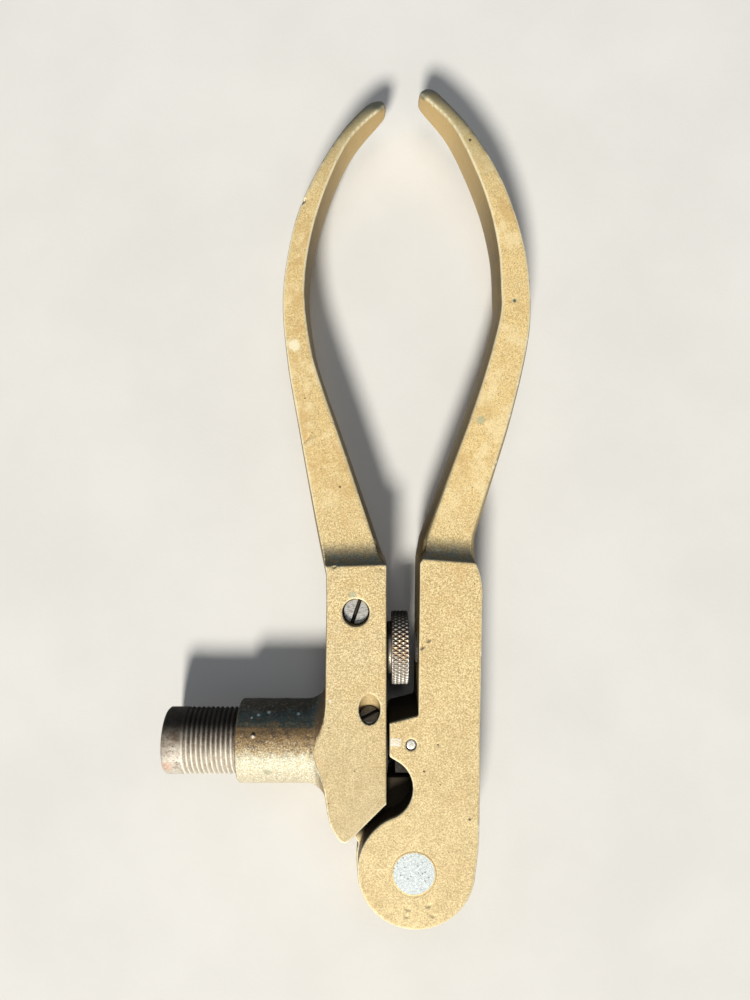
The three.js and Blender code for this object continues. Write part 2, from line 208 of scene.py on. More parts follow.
def roughen_boss(obj, seed):
    """The uneven skin of the cast boss, as real lumps."""
    co = coordinates(obj.data)
    on_boss = ramp(co[:, 0], *BOSS_ROOT) * ramp(co[:, 0], *BOSS_RIM) * ramp(co[:, 1], *BOSS_SIDE)
    lumps = 0.08 * wander(co, 4.0, seed + 1) + 0.035 * wander(co, 1.4, seed + 2)
    set_coordinates(obj.data, co + normals(obj.data) * ((lumps - 0.06) * on_boss)[:, None])
    return obj


def round_off_casting(obj):
    """Crisp machined blocks, softer handles, and fully rounded tips that keep their girth."""
    co = coordinates(obj.data)
    tip = ramp(co[:, 1], *TIP)
    for share, rounds in (
        (np.ones(len(co)), 2),
        (ramp(co[:, 1], *ROUND_END), 4),
        (ramp(co[:, 1], *HANDLE_START), 9),
        (tip, 26),
    ):
        soften(obj, share, rounds)
    co = coordinates(obj.data)
    set_coordinates(obj.data, co + normals(obj.data) * (0.2 * tip)[:, None])
    return obj


def close_rivet_hole(obj):
    """Draws the cheeks' holes in around the peened rivet, at the outer faces only."""
    co = coordinates(obj.data)
    away = np.hypot(co[:, 0], co[:, 1])
    from_middle = np.abs(co[:, 2] - BODY_TOP / 2)
    near = ramp(away, RIVET_HEAD + 1.05, RIVET_HEAD - 0.05) * ramp(from_middle, 11.2, 12.2)
    scale = 1 - 0.32 * near / np.maximum(away, 1)
    co[:, 0] *= scale
    co[:, 1] *= scale
    set_coordinates(obj.data, co)
    return obj


def ring_surface(name, rows, radii, centre, segments):
    """A turned surface about X. radii(row, angles) gives where each ring is and its radii. The
    rows close on themselves, or start and end on the axis."""
    angles = np.arange(segments) * 2 * math.pi / segments
    points = []
    for row in rows:
        along, radius = radii(row, angles)
        y = centre[1] + radius * np.cos(angles)
        z = centre[2] + radius * np.sin(angles)
        points.append(np.stack([centre[0] + along, y, z], axis=1))
    points = np.array(points)
    faces = []
    for i in range(len(rows) - 1):
        a = i * segments + np.arange(segments)
        b = i * segments + (np.arange(segments) + 1) % segments
        faces.append(np.stack([a, b, b + segments, a + segments], axis=1))
    mesh = bpy.data.meshes.new(name)
    mesh.from_pydata((points.reshape(-1, 3) * MM).tolist(), [], np.concatenate(faces).tolist())
    bm = bmesh.new()
    bm.from_mesh(mesh)
    bmesh.ops.remove_doubles(bm, verts=bm.verts, dist=1e-6)
    bmesh.ops.recalc_face_normals(bm, faces=bm.faces)
    bm.to_mesh(mesh)
    bm.free()
    return object_from(name, mesh)


def line(a, b, step):
    """Points from a to b, not counting b, about one step apart."""
    count = max(1, round(math.dist(a, b) / step))
    return [tuple(a[k] + (b[k] - a[k]) * i / count for k in range(2)) for i in range(count)]


def profile(corners, steps):
    """The rows of a turned piece: (along, radius) points, each stretch at its own step."""
    rows = []
    for a, b, step in zip(corners, corners[1:], steps):
        rows += line(a, b, step)
    return rows + [corners[-1]]


# ---- Materials ----

class Surface:
    """A material built from nodes. Texture coordinates are the part's own millimetres."""

    def __init__(self, name):
        self.material = bpy.data.materials.new(name)
        self.material.use_nodes = True
        self.tree = self.material.node_tree
        self.shader = self.tree.nodes["Principled BSDF"]
        place = self.node("ShaderNodeTexCoord")
        scale = self.node("ShaderNodeVectorMath", operation="SCALE")
        scale.inputs["Scale"].default_value = 1 / MM
        self.link(place.outputs["Object"], scale.inputs[0])
        self.mm = scale.outputs[0]
        split = self.node("ShaderNodeSeparateXYZ")
        self.link(self.mm, split.inputs[0])
        self.x, self.y, self.z = split.outputs
        facing = self.node("ShaderNodeSeparateXYZ")
        self.link(place.outputs["Normal"], facing.inputs[0])
        self.facing_up = self.math("ABSOLUTE", facing.outputs[2])
        self.facing_y = facing.outputs[1]
        self.facing_x = self.math("ABSOLUTE", facing.outputs[0])
        self.pointiness = self.node("ShaderNodeNewGeometry").outputs["Pointiness"]

    def node(self, kind, **settings):
        node = self.tree.nodes.new(kind)
        for key, value in settings.items():
            setattr(node, key, value)
        return node

    def link(self, source, target):
        self.tree.links.new(source, target)

    def feed(self, value, socket):
        if isinstance(value, bpy.types.NodeSocket):
            self.link(value, socket)
        else:
            socket.default_value = value

    def math(self, operation, a, b=0.0):
        node = self.node("ShaderNodeMath", operation=operation)
        self.feed(a, node.inputs[0])
        self.feed(b, node.inputs[1])
        return node.outputs[0]

    def times(self, first, *others):
        for other in others:
            first = self.math("MULTIPLY", first, other)
        return first

    def plus(self, a, b):
        return self.math("ADD", a, b)

    def minus(self, a, b):
        return self.math("SUBTRACT", a, b)

    def span(self, value, low, high, to_low=0.0, to_high=1.0):
        """Carries low..high smoothly onto to_low..to_high, and stops at the ends."""
        node = self.node("ShaderNodeMapRange", interpolation_type="SMOOTHSTEP")
        for key, v in zip(("Value", "From Min", "From Max", "To Min", "To Max"),
                          (value, low, high, to_low, to_high)):
            self.feed(v, node.inputs[key])
        return node.outputs[0]

    def between(self, value, way_in, way_out):
        """1 between two blends, and 0 beyond them."""
        return self.times(self.span(value, *way_in), self.span(value, *way_out))

    def stretched(self, scale, turn=0.0):
        node = self.node("ShaderNodeMapping")
        node.inputs["Scale"].default_value = scale
        node.inputs["Rotation"].default_value = (0, 0, math.radians(turn))
        self.link(self.mm, node.inputs["Vector"])
        return node.outputs[0]

    def noise(self, scale, detail=3.0, rough=0.55, vector=None, distortion=0.0):
        node = self.node("ShaderNodeTexNoise")
        self.link(vector or self.mm, node.inputs["Vector"])
        node.inputs["Scale"].default_value = scale
        node.inputs["Detail"].default_value = detail
        node.inputs["Roughness"].default_value = rough
        node.inputs["Distortion"].default_value = distortion
        return node.outputs["Fac"]

    def cells(self, scale, feature="F1", vector=None):
        node = self.node("ShaderNodeTexVoronoi", feature=feature)
        self.link(vector or self.mm, node.inputs["Vector"])
        node.inputs["Scale"].default_value = scale
        return node

    def specks(self, scale, size, share):
        """Round specks: 1 inside one, in this share of the cells."""
        node = self.cells(scale)
        inside = self.span(node.outputs["Distance"], size, size * 0.55)
        pick = self.node("ShaderNodeSeparateColor")
        self.link(node.outputs["Color"], pick.inputs[0])
        return self.times(inside, self.math("LESS_THAN", pick.outputs[0], share))

    def spot(self, centre, radius, edge=0.35):
        """A blot with a ragged edge around a place on the object."""
        away = self.node("ShaderNodeVectorMath", operation="DISTANCE")
        self.link(self.mm, away.inputs[0])
        away.inputs[1].default_value = centre
        ragged = self.times(self.noise(1.6 / radius, 3.0), radius * 1.1)
        ragged = self.plus(ragged, away.outputs["Value"])
        return self.span(ragged, radius * (1.5 + edge), radius * (1.5 - edge))

    def off_pivot(self):
        """Distance from the pivot axis."""
        squares = self.plus(self.times(self.x, self.x), self.times(self.y, self.y))
        return self.math("SQRT", squares)

    def off_axis(self, y, z):
        """Distance from an axis that runs along X through (y, z)."""
        dy = self.minus(self.y, y)
        dz = self.minus(self.z, z)
        return self.math("SQRT", self.plus(self.times(dy, dy), self.times(dz, dz)))

    def mix(self, factor, a, b):
        node = self.node("ShaderNodeMix", data_type="RGBA")
        self.feed(factor, node.inputs[0])
        self.feed(a, node.inputs[6])
        self.feed(b, node.inputs[7])
        return node.outputs[2]

    def colour_ramp(self, factor, stops):
        node = self.node("ShaderNodeValToRGB")
        elements = node.color_ramp.elements
        while len(elements) < len(stops):
            elements.new(0.5)
        for element, (place, tint) in zip(elements, stops):
            element.position = place
            element.color = tint
        self.link(factor, node.inputs[0])
        return node.outputs[0]

    def bump(self, height, depth_mm, normal=None):
        node = self.node("ShaderNodeBump")
        node.inputs["Distance"].default_value = depth_mm * MM
        self.link(height, node.inputs["Height"])
        if normal:
            self.link(normal, node.inputs["Normal"])
        return node.outputs[0]

    def finish(self, colour, roughness, metallic, normal):
        for value, key in ((colour, "Base Color"), (roughness, "Roughness"),
                           (metallic, "Metallic"), (normal, "Normal")):
            self.feed(value, self.shader.inputs[key])
        return self.material


def rgb(r, g, b):
    return (r, g, b, 1.0)


# Brass
BRASS_LIGHT = rgb(0.75, 0.59, 0.295)
BRASS_GREY = rgb(0.64, 0.52, 0.295)
BRASS_DEEP = rgb(0.65, 0.49, 0.23)
# Edges: lighter from wear and from painted highlight.
EDGE_WEAR_AND_HIGHLIGHT = rgb(1.0, 0.93, 0.68)
# The steep sides: painted shade, mottled, and painted light where they face the round end.
SIDE_SHADE = rgb(0.17, 0.12, 0.047)
SIDE_SHADE_WARM = rgb(0.23, 0.16, 0.065)
SIDE_LIT = rgb(0.60, 0.44, 0.20)
BRASS_PALE = rgb(0.97, 0.82, 0.50)
BRASS_STAINED = rgb(0.60, 0.38, 0.14)
# Painted shade towards the round end.
ROUND_END_SHADE = rgb(0.42, 0.34, 0.195)
# Painted shade towards the handle tips.
TIP_SHADE = rgb(0.36, 0.31, 0.17)
HANDLE_RIGHT = rgb(0.93, 0.685, 0.295)
HANDLE_LEFT = rgb(0.83, 0.605, 0.255)
GRAIN_LIGHT = rgb(0.95, 0.78, 0.45)
GRAIN_DARK = rgb(0.41, 0.295, 0.13)
GRAIN_FINE = rgb(0.34, 0.24, 0.11)
SCRATCH = rgb(0.40, 0.28, 0.12)
FLECK = rgb(0.92, 0.84, 0.62)
SCRAPED = rgb(0.80, 0.80, 0.76)
# Painted shade in the mouth of the press.
MOUTH_SHADE = rgb(0.026, 0.018, 0.009)
# Painted shade with a painted blue sky reflection, on faces turned towards the handles.
SKY_REFLECTION_BLUE = rgb(0.050, 0.078, 0.082)
SHADE_BROWN = rgb(0.090, 0.077, 0.048)
VERDIGRIS = rgb(0.30, 0.38, 0.27)
# Dark dirt in pits, marks and grit, also used as painted shade in creases and screw slots.
GRIME_AND_SHADE = rgb(0.03, 0.022, 0.013)

# The boss, from its side towards the round end to its side towards the handles: painted light on
# the near side, the brown of the cast skin along the top, then painted shade with a painted blue
# sky reflection
BOSS_LIGHT_AND_SHADE_STOPS = [
    (0.0, rgb(0.56, 0.48, 0.33)),
    (0.42, rgb(0.71, 0.68, 0.52)),
    (0.53, rgb(0.50, 0.37, 0.19)),
    (0.65, rgb(0.37, 0.235, 0.10)),
    (0.755, rgb(0.20, 0.13, 0.06)),
    (0.82, rgb(0.060, 0.078, 0.066)),
    (0.89, rgb(0.030, 0.062, 0.066)),
    (0.95, rgb(0.012, 0.013, 0.010)),
]
BOSS_BLOT = rgb(0.11, 0.08, 0.065)
BOSS_OCHRE = rgb(0.60, 0.47, 0.22)
# A painted highlight on the boss.
BOSS_GLINT = rgb(0.98, 0.95, 0.82)
# Where the boss faces along X: painted shade on the part facing the handles, brown on the part
# facing the round end.
COVE_SHADE = rgb(0.10, 0.07, 0.04)
COVE_BROWN = rgb(0.33, 0.235, 0.11)

# The die
DIE_GREY = rgb(0.50, 0.44, 0.36)
DIE_BROWN = rgb(0.27, 0.20, 0.15)
DIE_GRIT = rgb(0.17, 0.125, 0.09)
# Painted light on the die.
DIE_LIT = rgb(0.80, 0.76, 0.66)
DIE_SCRAPE = rgb(0.74, 0.70, 0.65)
DIE_CREST = rgb(0.94, 0.90, 0.80)
DIE_PIT = rgb(0.10, 0.075, 0.055)
# Painted shade on the die's side towards the handles.
DIE_SHADE = rgb(0.008, 0.008, 0.007)
# Painted shade in the roots of the thread, lighter on the lit side.
ROOT_SHADE = rgb(0.075, 0.056, 0.04)
ROOT_SHADE_LIT = rgb(0.36, 0.29, 0.21)
RUST_RED = rgb(0.58, 0.30, 0.19)

# The knurled wheel
KNURL_BRIGHT = rgb(0.88, 0.86, 0.80)
KNURL_DULL = rgb(0.62, 0.58, 0.52)
KNURL_RUST = rgb(0.72, 0.54, 0.36)
GROOVE_GREY = rgb(0.23, 0.19, 0.15)
GROOVE_RUST = rgb(0.37, 0.235, 0.125)
WHEEL_GREY = rgb(0.52, 0.48, 0.42)
WHEEL_DARK = rgb(0.22, 0.18, 0.14)
# Painted shade on the wheel's side towards the handles.
WHEEL_SHADE = rgb(0.02, 0.016, 0.012)

# The rivet
RIVET_LIGHT = rgb(0.525, 0.565, 0.57)
RIVET_GREY = rgb(0.42, 0.46, 0.47)
RIVET_GRAIN = rgb(0.34, 0.37, 0.38)
RIVET_PIT = rgb(0.20, 0.20, 0.20)
RING_LIGHT = rgb(0.62, 0.48, 0.24)
RING_DARK = rgb(0.52, 0.39, 0.18)

# Screws, pins and the anvil
BARE = rgb(0.92, 0.91, 0.87)
WORN = {
    "light": rgb(0.97, 0.96, 0.92),
    "dark": rgb(0.31, 0.295, 0.265),
    "edges": BARE,
    "rust": rgb(0.24, 0.17, 0.12),
    "rust_amount": 0.15,
    "shine": 1.0,
}
DARK = {
    "light": rgb(0.13, 0.115, 0.09),
    "dark": rgb(0.030, 0.026, 0.022),
    "edges": rgb(0.16, 0.14, 0.11),
    "rust": rgb(0.06, 0.045, 0.03),
    "rust_amount": 0.4,
    "shine": 0.25,
}
# Near black: painted shade, for the anvil deep in the notch.
BLACK = {
    "light": rgb(0.03, 0.025, 0.02),
    "dark": rgb(0.010, 0.008, 0.006),
    "edges": GRIME_AND_SHADE,
    "rust": rgb(0.03, 0.02, 0.012),
    "rust_amount": 0.5,
    "shine": 0.2,
}


def boss_region(s):
    """1 on the boss and its rim, 0 on the flat faces of the body."""
    rim = s.times(s.span(s.x, -24.4, -25.6), s.span(s.facing_up, 0.99, 0.94))
    on_boss = s.math("MAXIMUM", s.span(s.x, -28.0, -30.5), rim)
    return s.times(on_boss, s.between(s.y, (16, 20), (56, 50)))


def boss_skin_and_shading(s):
    """The rough cast skin of the boss, brown along the top, with painted light making it pale on
    the side towards the round end, and painted shade with a painted blue sky reflection on the
    other."""
    wobble = s.times(s.minus(s.noise(0.4, 5.0, 0.65), 0.5), 0.26)
    around = s.plus(s.times(s.facing_y, 0.5), 0.5)
    # Painted light and shade, by which way the surface faces, over the brown of the cast skin.
    skin = s.colour_ramp(s.plus(around, wobble), BOSS_LIGHT_AND_SHADE_STOPS)
    blots = s.span(s.noise(0.75, 4.0, 0.65), 0.54, 0.63, 0.0, 0.75)
    skin = s.mix(s.times(blots, s.span(s.facing_y, -0.25, 0.15)), skin, BOSS_BLOT)
    gritty = s.noise(2.2, 4.0, 0.8)
    skin = s.mix(s.span(gritty, 0.50, 0.38, 0.0, 0.5), skin, s.mix(0.72, skin, GRIME_AND_SHADE))
    ochre = s.span(s.noise(0.8, 3.0, 0.6), 0.52, 0.66, 0.0, 0.45)
    skin = s.mix(s.times(ochre, s.span(s.facing_y, 0.1, -0.2)), skin, BOSS_OCHRE)
    # Painted highlight: pale glints on the grit, on the side towards the round end.
    glint = s.times(s.span(gritty, 0.52, 0.62), s.span(s.facing_y, 0.5, -0.1, 0.06, 0.8))
    skin = s.mix(glint, skin, BOSS_GLINT)
    # Where the boss faces along X, at its end and its fillet into the arm: brown, darkened as
    # painted shade where it faces the handles.
    cove = s.mix(s.span(s.facing_y, 0.1, -0.3), COVE_SHADE, COVE_BROWN)
    return s.mix(s.span(s.facing_x, 0.45, 0.8, 0.0, 0.9), skin, cove)


def bright_patch(s):
    """A small scraped oblong beside the cross pin, with file lines across it."""
    (x0, y0), (x1, y1) = BRIGHT_PATCH
    soft = 0.1
    inside = s.times(
        s.between(s.x, (x0 - soft, x0 + soft), (x1 + soft, x1 - soft)),
        s.between(s.y, (y0 - soft, y0 + soft), (y1 + soft, y1 - soft)),
        s.span(s.z, BODY_TOP - 0.3, BODY_TOP - 0.1),
    )
    lines = s.noise(1.6, 2.0, 0.6, s.stretched((0.5, 3.0, 1.0)))
    return s.times(inside, s.span(lines, 0.38, 0.55, 0.1, 0.8))


def mouth_in_shade(s):
    """1 inside the gap where the die meets the anvil, where painted shade darkens it."""
    return s.times(
        s.between(s.x, *MOUTH_X), s.between(s.y, *MOUTH_Y), s.between(s.z, *MOUTH_Z)
    )


def brass_face(s, block, handle, round_end_shade_amount, patches, grain, fine):
    """The machined faces, from the block's colour to the handle's, with a fine light and dark
    grain, stains, and painted shade that makes both ends greyer."""
    colour = s.mix(s.span(s.noise(0.05, 4.0), 0.35, 0.65), block, BRASS_DEEP)
    colour = s.mix(s.span(s.y, 75, 120, 0.0, 0.9), colour, handle)
    colour = s.mix(s.span(patches, 0.45, 0.68, 0.0, 0.4), colour, BRASS_DEEP)
    grit = s.span(s.y, *HANDLE_FACE, 0.85, 0.55)
    colour = s.mix(s.times(s.span(grain, 0.48, 0.58), grit), colour, GRAIN_LIGHT)
    colour = s.mix(s.times(s.span(grain, 0.50, 0.38), grit), colour, GRAIN_DARK)
    colour = s.mix(s.span(fine, 0.51, 0.61, 0.0, 0.6), colour, GRAIN_FINE)
    pale = s.span(s.noise(0.17, 4.0, 0.6), 0.50, 0.64)
    pale = s.times(pale, s.span(s.y, *HANDLE_FACE, 0.0, 0.4))
    colour = s.mix(pale, colour, BRASS_PALE)
    stain = s.span(s.noise(0.11, 5.0, 0.62, distortion=0.6), 0.50, 0.64, 0.0, 0.52)
    colour = s.mix(s.times(stain, s.span(s.y, 60, 110, 0.35, 1.0)), colour, BRASS_STAINED)
    # Painted shade, greyer towards the round end.
    colour = s.mix(s.span(s.y, 5, 82, round_end_shade_amount, 0.0), colour, ROUND_END_SHADE)
    # Painted shade, darker and greener towards the tips, where the tops curve away from the light.
    return s.mix(s.span(s.y, 186, 222, 0.0, 0.85), colour, TIP_SHADE)


def shaded_brass_sides(s, patches):
    """The steep sides in painted shade, mottled in patches, with painted light where they face the
    round end.
    """
    mottled_shade = s.mix(s.span(patches, 0.35, 0.65), SIDE_SHADE, SIDE_SHADE_WARM)
    return s.mix(s.span(s.facing_y, -0.1, -0.55), mottled_shade, SIDE_LIT)


def fine_scratches(s):
    """Long thin scratches in some places only."""
    lines = s.cells(0.22, "DISTANCE_TO_EDGE", s.stretched((1.0, 0.08, 1.0), 21))
    scratch = s.span(lines.outputs["Distance"], 0.020, 0.008)
    return s.times(scratch, s.span(s.noise(0.13, 2.0), 0.56, 0.66))


def worn_and_highlit_edges(s):
    """1 along the castings' edges, apart from the rivet's ring: edges lightened by wear and by
    painted highlight.
    """
    edge = s.span(s.pointiness, 0.508, s.span(s.y, 92, 104, 0.55, 0.527))
    return s.times(
        edge,
        s.span(s.off_pivot(), 9.0, 10.5),
        s.span(s.facing_up, 0.995, 0.965),
        s.span(s.facing_up, 0.18, 0.42),
        s.span(s.noise(0.5, 3.0), 0.25, 0.5, 0.65, 1.0),
    )


def brass(name, block, handle, round_end_shade_amount, marks):
    """Worn cast brass: grainy machined faces, steep sides in painted shade, and marks of its own.
    round_end_shade_amount is how far painted shade darkens the face towards the round end."""
    s = Surface(name)
    patches = s.noise(0.3, 4.0, 0.6)
    grain = s.noise(2.0, 4.0, 0.8)
    fine = s.noise(3.8, 2.0, 0.7)
    side = s.span(s.facing_up, 0.90, 0.30)
    scratch = fine_scratches(s)
    pits = s.specks(0.42, 0.09, 0.16)
    flecks = s.specks(0.26, 0.055, 0.2)
    # Painted shade with a painted blue sky reflection, on the steps and coves that face the
    # handles.
    sky_and_shade = s.times(s.span(s.facing_y, 0.0, 0.58), s.span(s.facing_up, 0.2, 0.6))
    sky_and_shade_tint = s.mix(s.span(s.noise(0.5, 5.0, 0.6), 0.36, 0.62), SKY_REFLECTION_BLUE, SHADE_BROWN)
    on_boss = boss_region(s)
    edge = s.times(worn_and_highlit_edges(s), s.minus(1.0, sky_and_shade), s.minus(1.0, on_boss))
    mouth = mouth_in_shade(s)

    colour = brass_face(s, block, handle, round_end_shade_amount, patches, grain, fine)
    # Painted shade on the steep sides, with painted light where they face the round end.
    colour = s.mix(side, colour, shaded_brass_sides(s, patches))
    colour = s.mix(s.times(scratch, 0.15), colour, SCRATCH)
    colour = s.mix(s.times(pits, 0.75), colour, GRIME_AND_SHADE)
    colour = s.mix(s.times(flecks, 0.5), colour, FLECK)
    # Lay the painted shade and sky reflection over the steps and coves.
    colour = s.mix(s.times(sky_and_shade, s.span(grain, 0.60, 0.42, 0.90, 0.97)), colour, sky_and_shade_tint)
    colour = s.mix(on_boss, colour, boss_skin_and_shading(s))
    # Painted shade in creases and hollows, found from the pointiness.
    colour = s.mix(s.span(s.pointiness, 0.475, 0.42, 0.0, 0.35), colour, GRIME_AND_SHADE)
    # Edges lighter from wear and painted highlight, most of all at the round end, under the key
    # light.
    colour = s.mix(s.times(edge, s.span(s.y, 20, 0, 0.78, 1.0)), colour, EDGE_WEAR_AND_HIGHLIGHT)
    for place, radius, tint, strength in marks:
        colour = s.mix(s.times(s.spot(place, radius), strength), colour, tint)
    colour = s.mix(bright_patch(s), colour, SCRAPED)
    # Painted shade in the mouth of the press.
    colour = s.mix(s.times(mouth, 0.96), colour, MOUTH_SHADE)

    roughness = s.span(patches, 0.3, 0.7, 0.54, 0.66)
    roughness = s.minus(roughness, s.times(edge, 0.12))
    roughness = s.plus(roughness, s.times(on_boss, 0.04))
    roughness = s.plus(roughness, s.times(mouth, 0.3))
    metallic = s.span(s.math("MAXIMUM", side, on_boss), 0.0, 1.0, 0.28, 0.42)
    height = s.plus(s.times(grain, 0.7), s.times(fine, 0.3))
    height = s.minus(height, s.times(scratch, 0.12))
    normal = s.bump(height, 0.14)
    normal = s.bump(s.times(s.noise(0.9, 5.0, 0.65), on_boss), 0.4, normal)
    normal = s.bump(s.times(pits, -1.0), 0.15, normal)
    return s.finish(colour, roughness, metallic, normal)


def steel(name, light, dark, edges, rust, rust_amount, shine, slot_axis=None, slot_top=0.0):
    """Worn steel with streaks and some rust. Below slot_top along slot_axis, down in the slot, it
    is darkened as painted shade.
    """
    s = Surface(name)
    streak = s.noise(1.2, 4.0, 0.6, s.stretched((1.0, 3.0, 3.0)))
    grain = s.noise(5.0, 3.0, 0.7)
    blot = s.noise(0.45, 4.0, 0.6)
    colour = s.mix(s.span(streak, 0.35, 0.65), light, dark)
    colour = s.mix(s.span(grain, 0.5, 0.7, 0.0, 0.5), colour, dark)
    rusty = s.span(blot, 0.62 - 0.25 * rust_amount, 0.72 - 0.2 * rust_amount, 0.0, 0.85)
    colour = s.mix(rusty, colour, rust)
    dirt = s.noise(0.9, 5.0, 0.7, s.stretched((1.0, 1.6, 1.0), 30))
    colour = s.mix(s.span(dirt, 0.52, 0.60, 0.0, 0.8), colour, dark)
    # Along edges the steel takes its edge colour: bare worn metal, and partly painted highlight.
    colour = s.mix(s.span(s.pointiness, 0.525, 0.57, 0.0, 0.6), colour, edges)
    if slot_axis:
        height = s.node("ShaderNodeVectorMath", operation="DOT_PRODUCT")
        s.link(s.mm, height.inputs[0])
        height.inputs[1].default_value = slot_axis
        # Painted shade, deeper further down in the slot.
        slot_shade = s.span(height.outputs["Value"], slot_top - 0.12, slot_top - 0.5, 0.0, 0.95)
        colour = s.mix(slot_shade, colour, GRIME_AND_SHADE)
    smooth = 0.3 + 0.4 * (1 - shine)
    roughness = s.span(streak, 0.3, 0.7, smooth, smooth + 0.18)
    roughness = s.plus(roughness, s.times(rusty, 0.2))
    metallic = s.times(s.minus(0.95, s.times(rusty, 0.6)), shine)
    normal = s.bump(s.plus(grain, s.times(rusty, 0.6)), 0.02)
    return s.finish(colour, roughness, metallic, normal)


def die_steel():
    """Worn threaded steel, bright on the crests of its thread, with painted light on its side
    towards the round end, painted shade on the other side, and painted shade in the roots of the
    thread."""
    s = Surface("die_steel")
    grain = s.noise(2.3, 4.0, 0.75)
    blot = s.noise(0.30, 5.0, 0.65)
    ragged = s.times(s.minus(grain, 0.5), 0.9)
    radius = s.plus(s.off_axis(DIE_Y, DIE_Z), ragged)
    around = s.math("DIVIDE", s.minus(s.y, DIE_Y), DIE_RADIUS)
    # The side towards the round end gets painted light, the side towards the handles painted shade.
    lit_side = s.span(around, 0.35, -0.30)
    shaded_side = s.span(around, 0.12, 0.74)
    threaded = s.span(s.x, THREAD_X - 0.5, THREAD_X + 0.5)

    bare = s.mix(s.span(blot, 0.38, 0.62), DIE_GREY, DIE_BROWN)
    bare = s.mix(s.span(grain, 0.50, 0.36, 0.0, 0.8), bare, DIE_GRIT)
    # Painted light on the side towards the round end, less on the plain end.
    bare = s.mix(s.times(lit_side, s.span(threaded, 0, 1, 0.42, 0.75)), bare, DIE_LIT)
    worn = s.span(radius, DIE_RADIUS - 0.32, DIE_RADIUS - 0.04)
    bare = s.mix(s.times(worn, threaded, 0.6), bare, DIE_CREST)
    # Painted shade in the roots of the thread, lighter on the side with painted light.
    root = s.mix(lit_side, ROOT_SHADE, ROOT_SHADE_LIT)
    colour = s.mix(s.span(radius, DIE_RADIUS - 0.86, DIE_RADIUS - 0.46), root, bare)
    scrape = s.noise(1.1, 4.0, 0.6, s.stretched((1.0, 1.6, 1.0), 35), 1.2)
    on_plain_end = s.span(s.x, THREAD_X + 0.5, THREAD_X - 1.5)
    scrape = s.times(s.span(scrape, 0.50, 0.58), lit_side, on_plain_end)
    colour = s.mix(s.times(scrape, 0.6), colour, DIE_SCRAPE)
    # Painted shade, almost black, on the side towards the handles.
    colour = s.mix(s.times(shaded_side, 0.97), colour, DIE_SHADE)

    rust_noise = s.span(s.noise(0.7, 5.0, 0.7), 0.55, 0.68)
    bloom = s.times(s.spot(RUST_BLOOM, 1.9), s.span(grain, 0.3, 0.6, 0.85, 0.35))
    rust = s.math("MAXIMUM", s.times(rust_noise, 0.3), bloom)
    rust = s.times(rust, s.minus(1.0, shaded_side))
    colour = s.mix(rust, colour, RUST_RED)
    pits = s.specks(1.1, 0.22, 0.25)
    colour = s.mix(s.times(pits, 0.6), colour, DIE_PIT)

    dull = s.math("MAXIMUM", rust, shaded_side)
    roughness = s.plus(s.span(blot, 0.3, 0.7, 0.50, 0.62), s.times(dull, 0.25))
    metallic = s.minus(0.5, s.times(dull, 0.4))
    s.shader.inputs["Specular IOR Level"].default_value = 0.3
    height = s.plus(grain, s.times(rust_noise, 0.7))
    return s.finish(colour, roughness, metallic, s.bump(s.minus(height, pits), 0.2))


def knurled_steel():
    """Bright ridges over dark grooves, with a rusty band and painted shade on the side towards the
    handles.
    """
    s = Surface("knurled_steel")
    radius = s.off_axis(THUMB_Y, DIE_Z)
    grain = s.noise(3.0, 3.0, 0.6)
    band = s.span(s.math("ABSOLUTE", s.minus(s.y, RUST_BAND_Y)), 6.0, 2.0)
    rusty = s.times(band, s.span(s.noise(0.6, 4.0), 0.3, 0.55))
    ridge = s.mix(s.span(grain, 0.35, 0.65), KNURL_BRIGHT, KNURL_DULL)
    ridge = s.mix(s.times(rusty, 0.5), ridge, KNURL_RUST)
    groove = s.mix(rusty, GROOVE_GREY, GROOVE_RUST)
    tip = s.span(radius, WHEEL_RADIUS - KNURL_DEPTH * 0.85, WHEEL_RADIUS - KNURL_DEPTH * 0.2)
    cut = s.mix(tip, groove, ridge)
    face = s.mix(s.span(grain, 0.3, 0.7), WHEEL_GREY, WHEEL_DARK)
    colour = s.mix(s.span(radius, WHEEL_RADIUS - 1.4, WHEEL_RADIUS - 0.9), face, cut)
    # Painted shade on the side towards the handles.
    colour = s.mix(s.span(s.facing_y, 0.10, 0.70, 0.0, 0.95), colour, WHEEL_SHADE)
    roughness = s.span(grain, 0.3, 0.7, 0.34, 0.5)
    return s.finish(colour, roughness, 0.6, s.bump(grain, 0.03))


def rivet_metal():
    """Pale grey metal, pitted, with a ring of brass smeared over its rim."""
    s = Surface("rivet_metal")
    grain = s.noise(1.3, 4.0, 0.7)
    fine = s.noise(4.0, 3.0, 0.7)
    colour = s.mix(s.span(grain, 0.35, 0.65), RIVET_LIGHT, RIVET_GREY)
    colour = s.mix(s.span(fine, 0.54, 0.70, 0.0, 0.5), colour, RIVET_GRAIN)
    pits = s.specks(1.0, 0.26, 0.45)
    colour = s.mix(s.times(pits, 0.6), colour, RIVET_PIT)
    ring = s.mix(s.span(fine, 0.4, 0.6), RING_LIGHT, RING_DARK)
    colour = s.mix(s.span(s.off_pivot(), RIVET_BODY - 0.18, RIVET_BODY), colour, ring)
    roughness = s.span(grain, 0.3, 0.7, 0.5, 0.62)
    return s.finish(colour, roughness, 0.4, s.bump(s.minus(fine, pits), 0.08))


def floor_paint():
    """Matt off-white, slightly uneven."""
    s = Surface("floor_paint")
    soft = s.noise(0.02, 4.0)
    colour = s.mix(s.span(soft, 0.3, 0.7), rgb(0.70, 0.69, 0.67), rgb(0.66, 0.65, 0.63))
    return s.finish(colour, 0.85, 0.0, s.bump(s.noise(0.8, 3.0), 0.03))


# ---- Pieces ----

